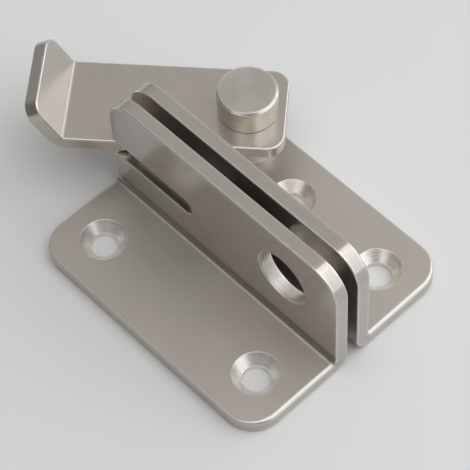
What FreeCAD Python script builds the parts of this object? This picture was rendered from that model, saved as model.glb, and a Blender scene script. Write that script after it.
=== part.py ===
"""Surface padbolt: a swinging latch arm that reaches through a pair of bent sheet brackets.

The latch bracket and the keeper bracket stand back to back, leaf to leaf, with a gap between
them. The arm turns on a knobbed pivot pin above the latch bracket's base and swings into the
open-ended slots of both leaves. A padlock goes through the round hole in both leaves.

Frame: X runs along the brackets, Y from the keeper to the latch, Z up. The origin is the middle
of the latch bracket's underside, where it meets the door. All sizes are millimetres and degrees.
"""

import FreeCAD, Part
import math
import os
import Sketcher

V = FreeCAD.Vector
AXIS_X = V(1, 0, 0)
AXIS_Y = V(0, 1, 0)
AXIS_Z = V(0, 0, 1)
SAME_PLACE = 1e-4

# Driving sizes: name, value, meaning.
SIZES = (
    ("sheet_thickness", 3.0, "sheet of both brackets"),
    ("bracket_length", 60.0, "length of each bracket along the leaf"),
    ("base_depth", 24.5, "base from the leaf's gap side to its outer edge"),
    ("leaf_height", 29.0, "top of the leaf above the mounting face"),
    ("leaf_gap", 2.5, "gap between the two leaves"),
    ("bend_inside_radius", 1.0, "inside radius of every bend"),
    ("base_corner_radius", 6.5, "outer corners of the bases"),
    ("leaf_corner_radius", 6.5, "top corners of the leaves"),
    ("edge_break", 0.3, "small chamfer on the brackets' cut edges"),
    ("screw_hole_diameter", 5.5, "through hole of a fixing screw"),
    ("screw_head_diameter", 9.3, "countersink at the base's top face"),
    ("screw_head_angle", 90.0, "included angle of the countersink"),
    ("screw_end_margin", 9.0, "end screw hole to the bracket's end"),
    ("screw_row_distance", 14.8, "screw row to the leaf's gap side"),
    ("latch_screw_pitch", 23.0, "between the latch bracket's screw holes"),
    ("padlock_hole_diameter", 12.0, "padlock hole through both leaves"),
    ("padlock_hole_height", 17.0, "padlock hole above the mounting face"),
    ("padlock_end_margin", 14.0, "padlock hole to the bracket's plain end"),
    ("slot_side_clearance", 0.45, "slot above and below the arm"),
    ("slot_end_clearance", 0.7, "slot end to the arm's edge when closed"),
    ("slot_corner_radius", 1.0, "mouth corners of the slots"),
    ("slot_end_radius", 1.6, "rounded inner ends of the slots"),
    ("pivot_end_margin", 13.0, "pivot to the brackets' slotted end"),
    ("pivot_distance", 18.0, "pivot to the latch leaf's gap side"),
    ("pivot_diameter", 6.0, "shank of the pivot pin"),
    ("pivot_running_clearance", 0.05, "radial play of the arm on its pin"),
    ("rivet_clearance", 0.03, "radial play of the riveted shank in the base"),
    ("tail_diameter", 9.0, "riveted tail at the mounting face"),
    ("spacer_diameter", 10.0, "outside of the spacer sleeve"),
    ("spacer_length", 9.0, "arm's height above the base"),
    ("arm_end_play", 0.05, "gap above and below the arm at its pivot"),
    ("knob_diameter", 12.0, "head of the pivot pin"),
    ("knob_height", 5.8, "head of the pivot pin above the arm"),
    ("knob_chamfer", 0.45, "chamfer round the knob's top"),
    ("arm_thickness", 3.0, "sheet of the latch arm"),
    ("arm_width", 19.0, "width of the latch arm"),
    ("arm_reach", 35.0, "pivot to the crease of the thumb tab"),
    ("arm_heel", 7.5, "pivot to the arm's heel"),
    ("heel_corner_radius", 3.5, "corners of the arm's heel"),
    ("tab_length", 9.5, "inside face of the thumb tab"),
    ("tab_angle", 63.0, "thumb tab above the arm's plane"),
    ("tab_corner_radius", 3.2, "top corners of the thumb tab"),
    ("arm_edge_break", 0.3, "small chamfer on the arm's cut edges"),
    ("arm_rest_angle", 41.0, "arm to the leaves as it rests"),
    ("arm_closed_angle", 86.0, "arm to the leaves when closed"),
)

# Places that several pieces share, worked out from the sizes above.
PIVOT_X = "(Sizes.pivot_end_margin - Sizes.bracket_length / 2)"
PIVOT_Y = "(Sizes.pivot_distance - Sizes.base_depth / 2)"
ARM_BOTTOM = "(Sizes.sheet_thickness + Sizes.spacer_length + Sizes.arm_end_play)"
SLOT_BOTTOM = f"({ARM_BOTTOM} - Sizes.slot_side_clearance)"
SLOT_TOP = f"({ARM_BOTTOM} + Sizes.arm_thickness + Sizes.slot_side_clearance)"
KNOB_BOTTOM = f"({ARM_BOTTOM} + Sizes.arm_thickness + Sizes.arm_end_play)"
TAIL_HEIGHT = "((Sizes.tail_diameter - Sizes.pivot_diameter) / 2)"


def make_sheet(doc):
    """Write the driving sizes into a spreadsheet, one named cell each."""
    sheet = doc.addObject("Spreadsheet::Sheet", "Sizes")
    for row, (name, value, meaning) in enumerate(SIZES, start=1):
        sheet.set(f"A{row}", name)
        sheet.set(f"B{row}", str(value))
        sheet.setAlias(f"B{row}", name)
        sheet.set(f"C{row}", meaning)
    doc.recompute()
    return sheet


def make_body(doc, label):
    """Start an empty body that carries one sub-part's name."""
    body = doc.addObject("PartDesign::Body", label)
    body.Label = label
    return body


def add_sketch(body, name, role, height=None):
    """Add a sketch on one of the body's own origin planes, raised by an expression."""
    sketch = body.newObject("Sketcher::SketchObject", name)
    plane = next(item for item in body.Origin.OriginFeatures if item.Role == role)
    sketch.AttachmentSupport = (plane, [""])
    sketch.MapMode = "FlatFace"
    if height is not None:
        sketch.setExpression("AttachmentOffset.Base.z", height)
    return sketch


def fix_point(sketch, geometry, point, across, up):
    """Tie a sketch point to the sketch's origin with one expression for each direction."""
    for kind, axis, formula in (("DistanceX", -2, across), ("DistanceY", -1, up)):
        value = float(sketch.evalExpression(formula))
        if abs(value) < SAME_PLACE:
            sketch.addConstraint(Sketcher.Constraint("PointOnObject", geometry, point, axis))
            continue
        if value > 0:
            constraint = Sketcher.Constraint(kind, -1, 1, geometry, point, value)
        else:
            constraint = Sketcher.Constraint(kind, geometry, point, -1, 1, -value)
            formula = f"-({formula})"
        number = sketch.addConstraint(constraint)
        sketch.setExpression(f"Constraints[{number}]", formula)


def add_polygon(sketch, corners):
    """Draw a closed outline through corners given as pairs of expressions."""
    places = [V(*(float(sketch.evalExpression(item)) for item in corner)) for corner in corners]
    count = len(corners)
    for index in range(count):
        sketch.addGeometry(Part.LineSegment(places[index], places[(index + 1) % count]))
    for index in range(count):
        sketch.addConstraint(Sketcher.Constraint("Coincident", index, 2, (index + 1) % count, 1))
    for index, (across, up) in enumerate(corners):
        fix_point(sketch, index, 1, across, up)


def add_circle(sketch, across, up, diameter):
    """Draw a circle whose centre and diameter are expressions."""
    values = [float(sketch.evalExpression(item)) for item in (across, up, diameter)]
    circle = Part.Circle(V(values[0], values[1], 0), AXIS_Z, values[2] / 2)
    geometry = sketch.addGeometry(circle)
    fix_point(sketch, geometry, 3, across, up)
    number = sketch.addConstraint(Sketcher.Constraint("Diameter", geometry, values[2]))
    sketch.setExpression(f"Constraints[{number}]", diameter)


def add_pad(body, name, sketch, length, midplane=False):
    """Pad a sketch by an expression, to one side or evenly to both."""
    pad = body.newObject("PartDesign::Pad", name)
    pad.Profile = sketch
    pad.SideType = "Symmetric" if midplane else "One side"
    pad.setExpression("Length", length)
    return recomputed(pad)


def add_pocket(body, name, sketch, depth):
    """Cut a sketch into the body against the sketch's normal, and check that it cuts."""
    before = body.Shape.Volume
    pocket = body.newObject("PartDesign::Pocket", name)
    pocket.Profile = sketch
    pocket.setExpression("Length", depth)
    recomputed(pocket)
    if not pocket.Shape.Volume < before:
        raise RuntimeError(f"{body.Label}: {name} cuts nothing")
    return pocket


def add_rounding(body, name, edges, size, kind="Fillet"):
    """Round or chamfer edges of the body's last feature."""
    rounding = body.newObject(f"PartDesign::{kind}", name)
    rounding.Base = edges
    rounding.setExpression("Radius" if kind == "Fillet" else "Size", size)
    return recomputed(rounding)


def recomputed(feature):
    """Recompute the document and return the feature, now with its shape."""
    feature.Document.recompute()
    return feature


def edges_through(feature, direction, places):
    """Find the straight edges along a direction that pass through one of the places."""
    names = []
    for number, edge in enumerate(feature.Shape.Edges, start=1):
        if edge.Curve.TypeId != "Part::GeomLine":
            continue
        start = edge.Vertexes[0].Point
        along = edge.Vertexes[1].Point - start
        if along.cross(direction).Length > SAME_PLACE:
            continue
        if any((place - start).cross(direction).Length < SAME_PLACE for place in places):
            names.append(f"Edge{number}")
    if not names:
        raise RuntimeError(f"{feature.Label} has no edge to round at {places}")
    return feature, names


def closed_slot_depth(face_distance):
    """Depth of a leaf's slot from the brackets' end, as an expression.

    The closed arm's near edge is a line half an arm's width from the pivot. The slot reaches to
    that line where it crosses the leaf's face that lies face_distance in front of the pivot.
    """
    return (
        "Sizes.pivot_end_margin + Sizes.slot_end_clearance + (Sizes.arm_width / 2"
        f" - ({face_distance}) * cos(Sizes.arm_closed_angle * 1 deg))"
        " / sin(Sizes.arm_closed_angle * 1 deg)"
    )


def make_bracket(doc, sheet, label, slotted_end, slot_depth, screw_places):
    """Build one bent bracket in its own frame: leaf along X at y = 0, base towards +Y.

    slotted_end is -1 or 1, the end of the bracket along X that has the slot's mouth.
    """
    body = make_body(doc, label)
    profile = add_sketch(body, f"{label}_profile", "YZ_Plane")
    add_polygon(
        profile,
        (
            ("0", "0"),
            ("Sizes.base_depth", "0"),
            ("Sizes.base_depth", "Sizes.sheet_thickness"),
            ("Sizes.sheet_thickness", "Sizes.sheet_thickness"),
            ("Sizes.sheet_thickness", "Sizes.leaf_height"),
            ("0", "Sizes.leaf_height"),
        ),
    )
    shape = add_pad(body, f"{label}_angle", profile, "Sizes.bracket_length", midplane=True)

    sheet_in = sheet.sheet_thickness
    half = sheet.bracket_length / 2
    inside = edges_through(shape, AXIS_X, [V(0, sheet_in, sheet_in)])
    shape = add_rounding(body, f"{label}_inside_bend", inside, "Sizes.bend_inside_radius")
    outside = edges_through(shape, AXIS_X, [V(0, 0, 0)])
    shape = add_rounding(
        body, f"{label}_outside_bend", outside, "Sizes.bend_inside_radius + Sizes.sheet_thickness"
    )
    base_corners = [V(side * half, sheet.base_depth, 0) for side in (-1, 1)]
    corners = edges_through(shape, AXIS_Z, base_corners)
    shape = add_rounding(body, f"{label}_base_corners", corners, "Sizes.base_corner_radius")
    leaf_corners = [V(side * half, 0, sheet.leaf_height) for side in (-1, 1)]
    corners = edges_through(shape, AXIS_Y, leaf_corners)
    shape = add_rounding(body, f"{label}_leaf_corners", corners, "Sizes.leaf_corner_radius")

    slot = add_sketch(body, f"{label}_slot_outline", "XZ_Plane")
    mouth = f"{slotted_end} * Sizes.bracket_length / 2"
    end = f"{slotted_end} * (Sizes.bracket_length / 2 - ({slot_depth}))"
    add_polygon(slot, ((mouth, SLOT_BOTTOM), (end, SLOT_BOTTOM), (end, SLOT_TOP), (mouth, SLOT_TOP)))
    shape = add_pocket(body, f"{label}_slot", slot, "Sizes.sheet_thickness")
    heights = [float(slot.evalExpression(item)) for item in (SLOT_BOTTOM, SLOT_TOP)]
    lips = edges_through(shape, AXIS_Y, [V(slotted_end * half, 0, height) for height in heights])
    shape = add_rounding(body, f"{label}_slot_lips", lips, "Sizes.slot_corner_radius")
    slot_end = float(slot.evalExpression(end))
    ends = edges_through(shape, AXIS_Y, [V(slot_end, 0, height) for height in heights])
    add_rounding(body, f"{label}_slot_end", ends, "Sizes.slot_end_radius")

    padlock = add_sketch(body, f"{label}_padlock_outline", "XZ_Plane")
    padlock_x = f"{-slotted_end} * (Sizes.bracket_length / 2 - Sizes.padlock_end_margin)"
    add_circle(padlock, padlock_x, "Sizes.padlock_hole_height", "Sizes.padlock_hole_diameter")
    add_pocket(body, f"{label}_padlock_hole", padlock, "Sizes.sheet_thickness")

    centres = add_sketch(body, f"{label}_screw_centres", "XY_Plane", "Sizes.sheet_thickness")
    for place in screw_places:
        add_circle(centres, place, "Sizes.screw_row_distance", "Sizes.screw_hole_diameter")
    add_screw_holes(body, f"{label}_screw_holes", centres)

    def is_broad_side(face):
        """Tell whether a face belongs to the leaf's or the base's two sides or their bend."""
        box = body.Shape.BoundBox
        on_base = is_flat(face, AXIS_Z) and face.BoundBox.ZMax < sheet_in + SAME_PLACE
        on_leaf = is_flat(face, AXIS_Y) and face.BoundBox.YMax < box.YMin + sheet_in + SAME_PLACE
        return on_base or on_leaf or is_bend(face, AXIS_X)

    break_edges(body, is_broad_side, "Sizes.edge_break")
    return body


def add_screw_holes(body, name, centres):
    """Drill and countersink the base at each circle of a sketch on its top face."""
    body.Document.recompute()
    before = body.Shape.Volume
    hole = body.newObject("PartDesign::Hole", name)
    hole.Profile = centres
    recomputed(hole)
    hole.DepthType = "ThroughAll"
    hole.ThreadType = "None"
    hole.setExpression("Diameter", "Sizes.screw_hole_diameter")
    hole.HoleCutType = "Countersink"
    hole.HoleCutCustomValues = True
    hole.setExpression("HoleCutDiameter", "Sizes.screw_head_diameter")
    hole.setExpression("HoleCutCountersinkAngle", "Sizes.screw_head_angle")
    recomputed(hole)
    if not hole.Shape.Volume < before:
        raise RuntimeError(f"{body.Label}: {name} cuts nothing")
    return hole


def break_edges(body, is_broad_side, size):
    """Chamfer the outline edges between a bent sheet's broad sides and its cut walls.

    The rims of round holes stay sharp.
    """
    body.Document.recompute()
    shape = body.Shape
    names = []
    for number, edge in enumerate(shape.Edges, start=1):
        faces = shape.ancestorsOfType(edge, Part.Face)
        if not edge.isClosed() and sum(is_broad_side(face) for face in faces) == 1:
            names.append(f"Edge{number}")
    return add_rounding(body, f"{body.Label}_edge_break", (body.Tip, names), size, "Chamfer")


def is_bend(face, direction):
    """Tell whether a face is a bend's round side along a direction."""
    surface = face.Surface
    return surface.TypeId == "Part::GeomCylinder" and surface.Axis.cross(direction).Length < SAME_PLACE


def is_flat(face, normal):
    """Tell whether a face is flat with its normal along a direction."""
    surface = face.Surface
    return surface.TypeId == "Part::GeomPlane" and surface.Axis.cross(normal).Length < SAME_PLACE


def make_latch_bracket(doc, sheet):
    """Build the bracket that carries the pivot, with a countersunk rivet hole under its base."""
    screws = (
        "Sizes.bracket_length / 2 - Sizes.screw_end_margin",
        "Sizes.bracket_length / 2 - Sizes.screw_end_margin - Sizes.latch_screw_pitch",
    )
    slot_depth = closed_slot_depth("Sizes.pivot_distance - Sizes.sheet_thickness")
    body = make_bracket(doc, sheet, "latch_bracket", -1, slot_depth, screws)
    body.setExpression("Placement.Base.y", "-Sizes.base_depth / 2")

    rivet = add_sketch(body, "latch_bracket_rivet_profile", "XZ_Plane", "-Sizes.pivot_distance")
    shank = f"({PIVOT_X} + Sizes.pivot_diameter / 2 + Sizes.rivet_clearance)"
    tail = f"({PIVOT_X} + Sizes.tail_diameter / 2 + Sizes.rivet_clearance)"
    add_polygon(
        rivet,
        (
            (PIVOT_X, "0"),
            (tail, "0"),
            (shank, TAIL_HEIGHT),
            (shank, "Sizes.sheet_thickness"),
            (PIVOT_X, "Sizes.sheet_thickness"),
        ),
    )
    recomputed(rivet)
    before = body.Shape.Volume
    groove = body.newObject("PartDesign::Groove", "latch_bracket_rivet_hole")
    groove.Profile = rivet
    groove.ReferenceAxis = (rivet, ["Edge5"])
    groove.Angle = 360
    recomputed(groove)
    if not groove.Shape.Volume < before:
        raise RuntimeError("latch_bracket: the rivet hole cuts nothing")
    return body


def make_keeper_bracket(doc, sheet):
    """Build the bracket that the arm hooks into, turned half round to face the latch."""
    screws = (
        "Sizes.bracket_length / 2 - Sizes.screw_end_margin",
        "Sizes.screw_end_margin - Sizes.bracket_length / 2",
    )
    slot_depth = closed_slot_depth("Sizes.pivot_distance + Sizes.leaf_gap")
    body = make_bracket(doc, sheet, "keeper_bracket", 1, slot_depth, screws)
    body.Placement = FreeCAD.Placement(V(0, 0, 0), FreeCAD.Rotation(AXIS_Z, 180))
    body.setExpression("Placement.Base.y", "-(Sizes.base_depth / 2 + Sizes.leaf_gap)")
    return body


def make_pivot_pin(doc):
    """Turn the pivot pin in one piece: riveted tail, shank and chamfered knob."""
    body = make_body(doc, "pivot_pin")
    profile = add_sketch(body, "pivot_pin_profile", "XZ_Plane")
    shank = "Sizes.pivot_diameter / 2"
    knob = "Sizes.knob_diameter / 2"
    knob_top = f"({KNOB_BOTTOM} + Sizes.knob_height)"
    add_polygon(
        profile,
        (
            ("0", "0"),
            ("Sizes.tail_diameter / 2", "0"),
            (shank, TAIL_HEIGHT),
            (shank, KNOB_BOTTOM),
            (knob, KNOB_BOTTOM),
            (knob, f"{knob_top} - Sizes.knob_chamfer"),
            (f"{knob} - Sizes.knob_chamfer", knob_top),
            ("0", knob_top),
        ),
    )
    turned = body.newObject("PartDesign::Revolution", "pivot_pin_turned")
    turned.Profile = profile
    turned.ReferenceAxis = (profile, ["V_Axis"])
    turned.Angle = 360
    recomputed(turned)
    body.setExpression("Placement.Base.x", PIVOT_X)
    body.setExpression("Placement.Base.y", PIVOT_Y)
    return body


def make_spacer_sleeve(doc):
    """Build the sleeve round the shank that holds the arm above the base."""
    body = make_body(doc, "spacer_sleeve")
    rings = add_sketch(body, "spacer_sleeve_rings", "XY_Plane")
    add_circle(rings, "0", "0", "Sizes.spacer_diameter")
    add_circle(rings, "0", "0", "Sizes.pivot_diameter + 2 * Sizes.pivot_running_clearance")
    add_pad(body, "spacer_sleeve_tube", rings, "Sizes.spacer_length")
    body.setExpression("Placement.Base.x", PIVOT_X)
    body.setExpression("Placement.Base.y", PIVOT_Y)
    body.setExpression("Placement.Base.z", "Sizes.sheet_thickness")
    return body


def make_latch_arm(doc, sheet):
    """Build the swinging arm along its own X, from its heel to its upturned thumb tab."""
    body = make_body(doc, "latch_arm")
    profile = add_sketch(body, "latch_arm_profile", "XZ_Plane")
    turn = "Sizes.tab_angle * 1 deg"
    tab_top = (
        f"Sizes.arm_reach + Sizes.tab_length * cos({turn})",
        f"Sizes.arm_thickness + Sizes.tab_length * sin({turn})",
    )
    tab_outer_top = (
        f"{tab_top[0]} + Sizes.arm_thickness * sin({turn})",
        f"{tab_top[1]} - Sizes.arm_thickness * cos({turn})",
    )
    outer_crease = f"Sizes.arm_reach + Sizes.arm_thickness * tan({turn} / 2)"
    add_polygon(
        profile,
        (
            ("-Sizes.arm_heel", "0"),
            (outer_crease, "0"),
            tab_outer_top,
            tab_top,
            ("Sizes.arm_reach", "Sizes.arm_thickness"),
            ("-Sizes.arm_heel", "Sizes.arm_thickness"),
        ),
    )
    shape = add_pad(body, "latch_arm_strip", profile, "Sizes.arm_width", midplane=True)

    crease = V(sheet.arm_reach, 0, sheet.arm_thickness)
    shape = add_rounding(
        body, "latch_arm_inside_bend", edges_through(shape, AXIS_Y, [crease]),
        "Sizes.bend_inside_radius",
    )
    outer = V(float(profile.evalExpression(outer_crease)), 0, 0)
    shape = add_rounding(
        body, "latch_arm_outside_bend", edges_through(shape, AXIS_Y, [outer]),
        "Sizes.bend_inside_radius + Sizes.arm_thickness",
    )
    half = sheet.arm_width / 2
    heel = [V(-sheet.arm_heel, side * half, 0) for side in (-1, 1)]
    corners = edges_through(shape, AXIS_Z, heel)
    shape = add_rounding(body, "latch_arm_heel_corners", corners, "Sizes.heel_corner_radius")
    top = V(*(float(profile.evalExpression(item)) for item in (tab_top[0], "0", tab_top[1])))
    tab_angle = math.radians(sheet.tab_angle)
    through_tab = V(math.sin(tab_angle), 0, -math.cos(tab_angle))
    tab_corners = [V(top.x, side * half, top.z) for side in (-1, 1)]
    corners = edges_through(shape, through_tab, tab_corners)
    add_rounding(body, "latch_arm_tab_corners", corners, "Sizes.tab_corner_radius")

    pivot = add_sketch(body, "latch_arm_pivot_outline", "XY_Plane", "Sizes.arm_thickness")
    add_circle(pivot, "0", "0", "Sizes.pivot_diameter + 2 * Sizes.pivot_running_clearance")
    add_pocket(body, "latch_arm_pivot_hole", pivot, "Sizes.arm_thickness")

    def is_broad_side(face):
        """Tell whether a face belongs to the strip's or the tab's two sides or their bend."""
        return is_flat(face, AXIS_Z) or is_flat(face, through_tab) or is_bend(face, AXIS_Y)

    break_edges(body, is_broad_side, "Sizes.arm_edge_break")
    body.Placement = FreeCAD.Placement(V(0, 0, 0), FreeCAD.Rotation(AXIS_Z, 180))
    body.setExpression("Placement.Base.x", PIVOT_X)
    body.setExpression("Placement.Base.y", PIVOT_Y)
    body.setExpression("Placement.Base.z", ARM_BOTTOM)
    body.setExpression("Placement.Rotation.Angle", "180 + Sizes.arm_rest_angle")
    return body


def check(doc, bodies):
    """Stop if any feature failed or any sub-part isn't one valid solid."""
    for item in doc.Objects:
        if "Invalid" in item.State or "Error" in item.State:
            raise RuntimeError(f"{item.Label} failed: {item.State}")
    for body in bodies:
        if body.Shape.isNull() or not body.Shape.isValid() or len(body.Shape.Solids) != 1:
            raise RuntimeError(f"{body.Label} isn't one valid solid")


def main():
    """Build every sub-part and write one STEP file for each."""
    doc = FreeCAD.newDocument("Padbolt")
    sheet = make_sheet(doc)
    bodies = [
        make_keeper_bracket(doc, sheet),
        make_latch_bracket(doc, sheet),
        make_latch_arm(doc, sheet),
        make_pivot_pin(doc),
        make_spacer_sleeve(doc),
    ]
    doc.recompute()
    check(doc, bodies)
    os.makedirs("parts", exist_ok=True)
    for body in bodies:
        body.Shape.exportStep(f"parts/{body.Label}.step")
        box = body.Shape.BoundBox
        print(f"{body.Label}: {body.Shape.Volume:.1f} mm3, x {box.XMin:.2f} to {box.XMax:.2f},"
              f" y {box.YMin:.2f} to {box.YMax:.2f}, z {box.ZMin:.2f} to {box.ZMax:.2f}")


main()
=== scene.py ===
"""Looks of the surface padbolt: edge-rolled steel sheets, turned steel pieces and a pale studio."""
import logging
import math
from dataclasses import dataclass, field
from enum import Enum

import bpy
import numpy as np
from mathutils import Matrix, Vector
from mathutils.geometry import delaunay_2d_cdt


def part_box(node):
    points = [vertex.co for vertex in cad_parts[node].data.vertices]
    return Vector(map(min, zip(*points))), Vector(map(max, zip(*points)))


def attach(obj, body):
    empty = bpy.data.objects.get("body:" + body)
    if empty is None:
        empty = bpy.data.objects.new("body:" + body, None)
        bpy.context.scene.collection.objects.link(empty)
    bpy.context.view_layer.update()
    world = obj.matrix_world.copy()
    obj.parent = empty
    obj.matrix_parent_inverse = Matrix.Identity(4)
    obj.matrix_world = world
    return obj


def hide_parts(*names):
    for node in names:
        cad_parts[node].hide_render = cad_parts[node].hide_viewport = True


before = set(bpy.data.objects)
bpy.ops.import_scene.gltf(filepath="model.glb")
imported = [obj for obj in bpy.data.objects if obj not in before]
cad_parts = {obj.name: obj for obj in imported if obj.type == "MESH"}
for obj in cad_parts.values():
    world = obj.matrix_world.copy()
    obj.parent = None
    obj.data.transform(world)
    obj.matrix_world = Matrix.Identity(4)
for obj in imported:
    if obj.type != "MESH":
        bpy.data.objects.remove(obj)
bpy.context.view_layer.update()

LOG = logging.getLogger("padbolt")
Triple = tuple[float, float, float]

MM = 0.001
FULL_TURN = 2 * math.pi
# A shader counts its brushing direction in turns.
QUARTER_TURN = 0.25
# How strongly each finer layer of a noise still counts.
NOISE_ROUGHNESS = 0.55
# How far to one side a sheet's texture space has its middle, in metres.
BRUSH_REACH = 20.0
# Lengths in metres below which something has no length, or two places are the same.
NO_LENGTH = 1e-9
SAME_PLACE = 1e-7
# Share of a leg that still counts as its end, and share of a step that is too narrow for a point.
LEG_END = 1e-6
CROWDED = 0.2
# How near two of a blank's points may be, in millimetres, before they are joined.
JOINED = 1e-6
# What each point says of itself: rubbed edge, sheared wall, turned surface, inside of the bend
# (where painted shade darkens the colour).
MARKS = ("edge", "wall", "turned", "crease")


# Shader maths


class Wire:
    """A shader node's output that takes part in Python arithmetic."""

    def __init__(self, bench: "Bench", socket: bpy.types.NodeSocket) -> None:
        """Remember the bench that the node stands on and its socket."""
        self.bench = bench
        self.socket = socket

    def _math(self, operation: str, *values: "float | Wire") -> "Wire":
        """Add a Math node for one operation."""
        return self.bench.add("ShaderNodeMath", {"operation": operation}, dict(enumerate(values)))

    def __add__(self, other: "float | Wire") -> "Wire":
        """Sum."""
        return self._math("ADD", self, other)

    __radd__ = __add__

    def __sub__(self, other: "float | Wire") -> "Wire":
        """Difference."""
        return self._math("SUBTRACT", self, other)

    def __rsub__(self, other: float) -> "Wire":
        """Difference from a number."""
        return self._math("SUBTRACT", other, self)

    def __mul__(self, other: "float | Wire") -> "Wire":
        """Product."""
        return self._math("MULTIPLY", self, other)

    __rmul__ = __mul__

    def clamped(self) -> "Wire":
        """Keep the value between 0 and 1."""
        return self.bench.add("ShaderNodeClamp", {}, {"Value": self})

    def swing(self, width: float) -> "Wire":
        """Turn a value of 0.5 on average into one about 0, with this width."""
        return (self - 0.5) * width

    def ramped(self, low: float, high: float) -> "Wire":
        """Rise smoothly from 0 at low to 1 at high.

        Args:
            low: where the value is 0.
            high: where the value is 1.

        Returns:
            The smooth step.
        """
        settings = {"interpolation_type": "SMOOTHSTEP"}
        return self.bench.add("ShaderNodeMapRange", settings, {0: self, 1: low, 2: high})


@dataclass(frozen=True)
class Pattern:
    """A noise on the steel.

    Its size is its grain's length along each direction of its layout, and its detail is how many
    finer layers it has. Shade, roughness and height are how much it changes each of them.
    """

    size: Triple
    detail: float = 2.0
    shade: float = 0.0
    roughness: float = 0.0
    height: float = 1.0


class Shown(Enum):
    """What a finished shader is shown on, as the node that takes it."""

    SURFACE = "ShaderNodeOutputMaterial"
    WORLD = "ShaderNodeOutputWorld"


class Bench:
    """The node tree of one material or world, built node by node."""

    def __init__(self, tree: bpy.types.NodeTree) -> None:
        """Start with an empty tree."""
        self.tree = tree
        tree.nodes.clear()

    def node(
        self, kind: str, settings: dict[str, object], inputs: dict[int | str, object]
    ) -> bpy.types.Node:
        """Add one node.

        Args:
            kind: the node's type.
            settings: its properties, set first.
            inputs: a value or a wire for each socket, by name or number.

        Returns:
            The node.
        """
        made = self.tree.nodes.new(kind)
        for name, value in settings.items():
            setattr(made, name, value)
        for name, value in inputs.items():
            if isinstance(value, Wire):
                self.tree.links.new(value.socket, made.inputs[name])
            else:
                made.inputs[name].default_value = value
        return made

    def add(
        self,
        kind: str,
        settings: dict[str, object],
        inputs: dict[int | str, object],
        output: int | str = 0,
    ) -> Wire:
        """Add one node and read one of its outputs.

        Args:
            kind: the node's type.
            settings: its properties, set first.
            inputs: a value or a wire for each socket, by name or number.
            output: the output socket that goes on.

        Returns:
            That output as a wire.
        """
        return Wire(self, self.node(kind, settings, inputs).outputs[output])

    def show(self, shader: Wire, shown: Shown = Shown.SURFACE) -> None:
        """Send a shader to the surface or the world."""
        self.node(shown.value, {}, {"Surface": shader})

    def mark(self, name: str) -> Wire:
        """Read one of a piece's own marks, such as how near an edge is."""
        return self.add("ShaderNodeAttribute", {"attribute_name": name}, {}, "Fac")

    def layout(self, name: str) -> Wire:
        """Read one of a piece's own layouts in metres."""
        return self.add("ShaderNodeUVMap", {"uv_map": name}, {})

    def noise(self, place: Wire, pattern: Pattern) -> Wire:
        """Add noise whose grain has its own size in each direction.

        Args:
            place: coordinates in metres.
            pattern: the grain's size and finer layers.

        Returns:
            The noise, about 0.5 on average.
        """
        scale = tuple(1 / length for length in pattern.size)
        scaled = self.add("ShaderNodeVectorMath", {"operation": "MULTIPLY"}, {0: place, 1: scale})
        inputs = {
            "Vector": scaled, "Scale": 1.0, "Detail": pattern.detail, "Roughness": NOISE_ROUGHNESS
        }
        return self.add("ShaderNodeTexNoise", {}, inputs)

    def mix_colours(self, share: Wire, first: object, second: object) -> Wire:
        """Blend two colours."""
        settings = {"data_type": "RGBA"}
        return self.add("ShaderNodeMix", settings, {0: share, 6: first, 7: second}, 2)

    def mix_shaders(self, share: Wire, first: Wire, second: Wire) -> Wire:
        """Blend two shaders."""
        return self.add("ShaderNodeMixShader", {}, {0: share, 1: first, 2: second})

    def dim(self, colour: Wire, share: Wire) -> Wire:
        """Multiply a colour by a number."""
        settings = {"operation": "SCALE"}
        return self.add("ShaderNodeVectorMath", settings, {0: colour, "Scale": share})

    def bump(self, height: Wire, strength: float, depth: float) -> Wire:
        """Bump the surface by a height between 0 and 1, for a depth in metres."""
        inputs = {"Strength": strength, "Distance": depth, "Height": height}
        return self.add("ShaderNodeBump", {}, inputs)

    def steel(self, inputs: dict[int | str, object]) -> Wire:
        """Add the shader of bare metal."""
        return self.add("ShaderNodeBsdfPrincipled", {}, {"Metallic": 1.0, **inputs})


def new_material(name: str) -> tuple[bpy.types.Material, Bench]:
    """Start a material.

    Args:
        name: its name.

    Returns:
        The material and the bench of its empty node tree.
    """
    made = bpy.data.materials.new(name)
    made.use_nodes = True
    return made, Bench(made.node_tree)


# Finishes


@dataclass(frozen=True)
class Rubbing:
    """How edges are rubbed pale.

    The share of rubbed metal rises smoothly from 0 to 1 while the weighted sum of the edge mark
    and the mottle goes from start to full.
    """

    edge: float
    mottle: float
    start: float
    full: float

    def share(self, edge: Wire, mottle: Wire) -> Wire:
        """Share of rubbed metal at each place."""
        return (edge * self.edge + mottle.swing(self.mottle)).ramped(self.start, self.full)


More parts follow.
